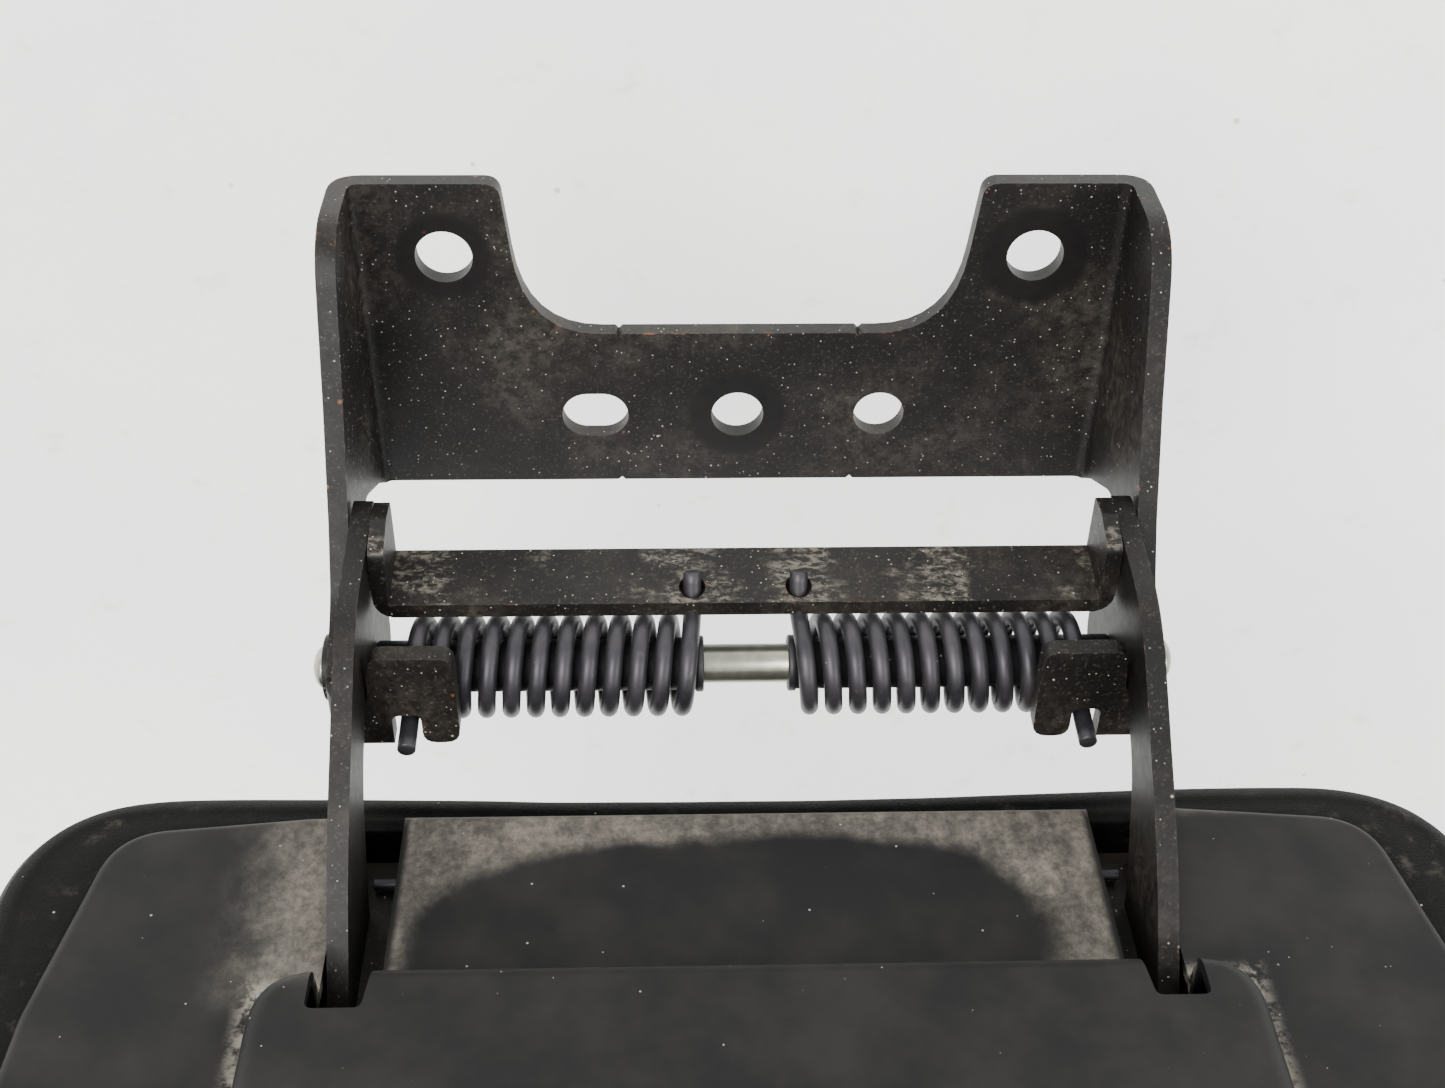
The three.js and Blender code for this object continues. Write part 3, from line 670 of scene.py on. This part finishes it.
# The screws' bosses, with their bores and countersinks.
SCREW_X, SCREW_LEVELS, BOSS_R, BORE_R, SINK_R = 140.0, (220.0, 380.0), 7.0, 2.3, 4.8
PAN = [[-158, LOW + 4.5, 17], [-110, LOW, 0], [110, LOW, 0], [158, LOW + 4.5, 17],
       [HALF - 1.5, LOW + 60, 40], [HALF, LOW + 100, 0], [HALF, HIGH, 52], [-HALF, HIGH, 52],
       [-HALF, LOW + 100, 0], [-HALF + 1.5, LOW + 60, 40]]
BLOCK = [[-BLOCK_HALF, BLOCK_LOW, 15], [BLOCK_HALF, BLOCK_LOW, 15],
         [BLOCK_HALF, BLOCK_HIGH, 15], [-BLOCK_HALF, BLOCK_HIGH, 15]]
ARM_SLOT = [[86.5, LOW - 10, 0], [100.4, LOW - 10, 0], [100.4, 173, 2], [88, 173, 2], [86.5, BLOCK_LOW, 0]]


def tray(name, corners, front, rear, roll, flare=0.0, grow=0.0):
    """A capped block with a rounded front edge; flare widens its foot."""
    points = inset(outline(corners), -grow)
    profile = [(rear, -flare), (front + roll + 4, -flare * 0.4)] if flare else [(rear, 0.0)]
    profile += quarter(front + roll, front, 0.0, roll, 8)
    bm = bmesh.new()
    loft(bm, [ring_xz(inset(points, d), y) for y, d in profile])
    return loose(name, bm)


def prism(name, corners, y0, y1):
    bm = bmesh.new()
    points = outline(corners, 8, 1)
    loft(bm, [ring_xz(points, y0), ring_xz(points, y1)])
    return loose(name, bm)


def cylinder_y(name, radius, y0, y1, x, z, steps=40):
    bm = bmesh.new()
    circle = [(x + radius * math.cos(a), z + radius * math.sin(a))
              for a in np.arange(steps) * 2 * math.pi / steps]
    loft(bm, [ring_xz(circle, y0), ring_xz(circle, y1)])
    return loose(name, bm)


def make_shell():
    shell = tray("moulded_shell", PAN, SHELL_FRONT, SHELL_REAR, PAN_ROLL)
    cut(shell, tray("block", BLOCK, BLOCK_FRONT, SHELL_FRONT + 6, BLOCK_ROLL, flare=BLOCK_FLARE), "UNION")
    cut(shell, tray("hollow", PAN, SHELL_FRONT + SKIN, SHELL_REAR + 2, 1.0, grow=-SKIN))
    cut(shell, tray("block_hollow", BLOCK, BLOCK_FRONT + SKIN, SHELL_REAR + 2, 2.0, grow=-SKIN))
    for sign in (1, -1):
        slot = [[sign * x, z, r] for x, z, r in ARM_SLOT]
        cut(shell, prism("slot", slot if sign > 0 else slot[::-1], BLOCK_FRONT - 5, SHELL_REAR + 1))
        x = sign * SCREW_X
        for z in SCREW_LEVELS:
            cut(shell, cylinder_y("boss", BOSS_R, SHELL_FRONT + 1, SHELL_REAR, x, z), "UNION")
            cut(shell, cylinder_y("bore", BORE_R, SHELL_FRONT - 1, SHELL_REAR + 1, x, z))
            cut(shell, cylinder_y("sink", SINK_R, SHELL_FRONT - 1, SHELL_FRONT + 3, x, z))
    shell.data.materials.clear()
    shell.data.materials.append(SHELL)
    shell.data.shade_smooth()
    shell.data.set_sharp_from_angle(angle=math.radians(40))
    normals = shell.modifiers.new("normals", "WEIGHTED_NORMAL")
    normals.keep_sharp = True
    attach(shell, "seat")
    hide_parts("seat_shell")


make_shell()


# ---------- cushion ----------
# All in millimetres: the outline in the XZ plane, and how far its sides pull in between the corners.
CUSHION_HALF, CUSHION_LOW, CUSHION_HIGH = 188.0, 88.0, 442.0
CUSHION_MIDDLE = np.array((0.0, (CUSHION_LOW + CUSHION_HIGH) / 2))
CUSHION_HALF_HEIGHT = (CUSHION_HIGH - CUSHION_LOW) / 2
CORNER_LOW, CORNER_HIGH, WAIST = 42.0, 66.0, 2.6
# Where the sitting face starts along Y, and how far it bulges.
FACE_Y, CROWN = 140.5, 4.6
# How far in from the cushion's outline the cover lies, as (y, distance), from its front round to its face.
COVER_PROFILE = [
    (76.6, 10.6), (76.4, 8.0), (77.4, 4.6), (79.8, 2.2), (83.0, 0.6), (87.0, -0.4), (93.0, -1.1),
    (100.0, -1.6), (108.0, -1.7), (115.0, -1.2), (120.0, -0.4), (123.6, 0.7), (125.2, 2.1), (125.9, 3.3),
    (126.6, 2.6), (128.6, 2.0), (131.4, 3.0), (134.4, 5.6), (136.8, 9.4), (138.4, 14.4), (139.6, 21.0),
    (FACE_Y, 29.0),
]
# The cover's way in to the shell's edge, as (y, share of the way).
RIM = [(98.4, 1.0), (90.0, 1.0), (83.0, 1.0), (79.0, 1.0), (77.6, 1.0), (76.8, 0.95), (76.4, 0.8),
       (76.2, 0.55), (76.3, 0.28)]
RIM_GAP = 0.25


def wave_noise(points, size, seed):
    """Smooth noise on points: the sum of a few plane waves in seeded directions."""
    rng = np.random.default_rng(seed)
    total = np.zeros(len(points))
    for _ in range(10):
        direction = rng.normal(size=3)
        direction /= np.linalg.norm(direction)
        length = size * rng.uniform(0.7, 1.5)
        total += np.sin(points @ direction * 2 * math.pi / length + rng.uniform(0, 6.28))
    return total / 4.5


def cushion_outline():
    points = outline([[-CUSHION_HALF, CUSHION_LOW, CORNER_LOW], [CUSHION_HALF, CUSHION_LOW, CORNER_LOW],
                      [CUSHION_HALF, CUSHION_HIGH, CORNER_HIGH], [-CUSHION_HALF, CUSHION_HIGH, CORNER_HIGH]],
                     26, 44)
    away = (points - CUSHION_MIDDLE) / (CUSHION_HALF, CUSHION_HALF_HEIGHT)
    along = np.minimum(np.abs(away[:, 0]), np.abs(away[:, 1]))
    pull = WAIST * np.cos(np.clip(along / 0.8, 0, 1) * math.pi / 2) ** 2
    return inset(points, pull[:, None])


def along_rays(points, like, centre):
    """The outline's points that lie in the same directions from centre as those of another outline."""
    away = points - centre
    angle = np.mod(np.arctan2(away[:, 1], away[:, 0]), 2 * math.pi)
    order = np.argsort(angle)
    wanted = np.mod(np.arctan2(*(like - centre).T[::-1]), 2 * math.pi)
    reach = np.interp(wanted, angle[order], np.hypot(*away.T)[order], period=2 * math.pi)
    return centre + np.column_stack([np.cos(wanted), np.sin(wanted)]) * reach[:, None]


def at_depth(points, y):
    """An outline in the XZ plane, placed at one depth."""
    return np.column_stack([points[:, 0], np.full(len(points), y), points[:, 1]])


def cover_rings(points):
    """Rings of the cover, from beside the board round the rim, the sides and the face."""
    dense = []
    for (y0, d0), (y1, d1) in zip(COVER_PROFILE, COVER_PROFILE[1:]):
        dense += [(y0, d0), ((y0 + y1) / 2, (d0 + d1) / 2)]
    dense.append(COVER_PROFILE[-1])
    outer = [at_depth(inset(points, distance), y) for y, distance in dense]
    start = inset(points, dense[0][1])
    edge = along_rays(inset(outline(PAN, 24, 30), -RIM_GAP), points, CUSHION_MIDDLE)
    rim = [at_depth(start + (edge - start) * share, y) for y, share in RIM]
    flat = inset(points, dense[-1][1])
    face = [at_depth(flat + (CUSHION_MIDDLE - flat) * share, FACE_Y + CROWN * math.sin(share * math.pi / 2))
            for share in np.linspace(0, 1, 34)[1:-1]]
    return rim + outer + face


def make_cushion():
    """A crowned pad: rolled in to the shell's edge in front, boxed sides, welted face at the back."""
    points = cushion_outline()
    bm = bmesh.new()
    made = skin(bm, [ring * MM for ring in cover_rings(points)])
    top = bm.verts.new((CUSHION_MIDDLE[0] * MM, (FACE_Y + CROWN) * MM, CUSHION_MIDDLE[1] * MM))
    last = made[-1]
    for a, b in zip(last, last[1:] + last[:1]):
        bm.faces.new((a, b, top))
    bm.faces.new(made[0])
    cover = new_piece("vinyl_cover", bm, VINYL, "seat", "vinyl", "cushion_cover")
    relief(cover)


# As the cover's profile, for the foam inside it.
FOAM_PROFILE = [(79.6, 11.0), (81.0, 7.6), (84.0, 4.6), (90.0, 3.2), (108.0, 2.6), (118.0, 3.4), (124.0, 5.8),
                (129.0, 7.2), (133.0, 10.4), (135.6, 14.0), (136.6, 19.0)]
FOAM_HOLLOW_FRONT, FOAM_HOLLOW_REAR, FOAM_HOLLOW_GAP = 60.0, 98.9, 0.7


def make_foam():
    """The foam, a little smaller than its cover, hollowed for the board and the shell's edge."""
    points = cushion_outline()
    bm = bmesh.new()
    loft(bm, [ring_xz(inset(points, distance), y) for y, distance in FOAM_PROFILE])
    foam_core = loose("foam_core", bm)
    cut(foam_core, tray("foam_hollow", PAN, FOAM_HOLLOW_FRONT, FOAM_HOLLOW_REAR, 1.0, grow=FOAM_HOLLOW_GAP))
    paint(foam_core, FOAM)
    foam_core.data.shade_smooth()
    foam_core.data.set_sharp_from_angle(angle=math.radians(40))
    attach(foam_core, "seat")
    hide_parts("cushion_foam")


# The sewn panel on the sitting face, its two channels, and the width and depth of a seam.
PANEL_HALF_X, PANEL_HALF_Z, PANEL_CORNER, CHANNEL = 128.0, 118.0, 26.0, 39.0
SEAM_WIDTH, SEAM_DEPTH, PUFF = 3.2, 3.2, 1.2


def sewn_panel(x, up):
    """How deep in a seam each point lies, and how far inside the panel, both from 0 to 1."""
    dx = np.abs(x) - PANEL_HALF_X + PANEL_CORNER
    dz = np.abs(up) - PANEL_HALF_Z + PANEL_CORNER
    past_corner = np.hypot(np.maximum(dx, 0), np.maximum(dz, 0))
    outside = past_corner + np.minimum(np.maximum(dx, dz), 0) - PANEL_CORNER
    seam = np.exp(-(outside / SEAM_WIDTH) ** 2)
    inside = np.clip(-outside / 10, 0, 1)
    for level in (-CHANNEL, CHANNEL):
        seam = np.maximum(seam, np.exp(-((up - level) / SEAM_WIDTH) ** 2) * inside)
    return seam, inside


def relief(cover):
    """Soft wrinkles, gathers at the corners and a sewn panel on the sitting face."""
    mesh = cover.data
    co = np.zeros(len(mesh.vertices) * 3)
    mesh.vertices.foreach_get("co", co)
    co = co.reshape(-1, 3) / MM
    normals = np.array([v.normal for v in mesh.vertices])
    x, y, z = co.T
    up = z - CUSHION_MIDDLE[1]
    soft = wave_noise(co, 90, 3) * 0.7 + wave_noise(co, 34, 5) * 0.28
    side = np.clip((y - 79) / 8, 0, 1) * np.clip((124 - y) / 8, 0, 1)
    to_corner = np.minimum(np.abs(x) / CUSHION_HALF, np.abs(up) / CUSHION_HALF_HEIGHT)
    corner = np.clip(to_corner * 2.4 - 1.3, 0, 1)
    gather = side * corner * np.sin(np.arctan2(up, x) * 70 + wave_noise(co, 60, 9)) * 0.5
    face = np.clip((y - 139.0) / 1.5, 0, 1)
    seam, inside = sewn_panel(x, up)
    puff = inside * PUFF * np.abs(np.cos(up / (2 * CHANNEL) * math.pi))
    # The rim beside the shell stays where it is.
    reach = np.maximum(np.abs(x) / 172, np.maximum(up / 160, -up / 161))
    free = np.maximum(np.clip(reach * 12 - 11.4, 0, 1), face)
    push = (soft * (0.35 + 0.5 * face) + gather) * free - seam * face * SEAM_DEPTH + puff * face
    co += normals * push[:, None]
    mesh.vertices.foreach_set("co", (co * MM).ravel())
    mesh.update()


make_cushion()
make_foam()


def cord_loop(points, radius, sides=10):
    """A closed cord of a given radius along points, in metres."""
    points = np.array(points)
    tangents = np.roll(points, -1, axis=0) - np.roll(points, 1, axis=0)
    tangents /= np.linalg.norm(tangents, axis=1)[:, None]
    rings = []
    for point, tangent in zip(points, tangents):
        normal = np.array((0.0, 1.0, 0.0))
        normal = normal - tangent * (normal @ tangent)
        normal /= np.linalg.norm(normal)
        side = np.cross(tangent, normal)
        rings.append([tuple(point + (normal * math.cos(a) + side * math.sin(a)) * radius)
                      for a in np.arange(sides) * 2 * math.pi / sides])
    bm = bmesh.new()
    skin(bm, rings, loop=True)
    return bm


WELT_R, WELT_Y, WELT_IN = 2.0, 126.3, 2.4
welt_line = ring_xz(inset(cushion_outline(), WELT_IN), WELT_Y)
new_piece("cover_welt", cord_loop(welt_line, WELT_R * MM), VINYL, "seat", "vinyl")


# ---------- floor and light ----------
def make_stage():
    bm = bmesh.new()
    bmesh.ops.create_grid(bm, x_segments=1, y_segments=1, size=8)
    mesh = bpy.data.meshes.new("floor")
    bm.to_mesh(mesh)
    bm.free()
    floor = bpy.data.objects.new("floor", mesh)
    floor.location = (0, 0, -0.16)
    collection.objects.link(floor)
    mesh.materials.append(pale_floor())

    world = bpy.data.worlds.new("studio")
    world.use_nodes = True
    background = next(n for n in world.node_tree.nodes if n.type == "BACKGROUND")
    background.inputs["Color"].default_value = (0.97, 0.985, 1.0, 1)
    background.inputs["Strength"].default_value = 1.85
    scene.world = world

    def softbox(name, location, target, size, watts, colour=(1, 1, 1)):
        data = bpy.data.lights.new(name, "AREA")
        data.shape = "DISK"
        data.size = size
        data.energy = watts
        data.color = colour
        light = bpy.data.objects.new(name, data)
        light.location = location
        light.rotation_mode = "QUATERNION"
        light.rotation_quaternion = (Vector(target) - Vector(location)).to_track_quat("-Z", "Y")
        collection.objects.link(light)

    softbox("key", (0.7, -1.1, 1.9), (0, 0.05, 0.1), 1.3, 68, (1.0, 0.985, 0.96))
    softbox("fill", (-1.6, -0.3, 1.3), (0, 0.05, 0.1), 1.2, 22, (0.95, 0.98, 1.0))
    softbox("back", (0.3, 1.9, 1.2), (0, 0.1, 0.2), 1.2, 30)


make_stage()
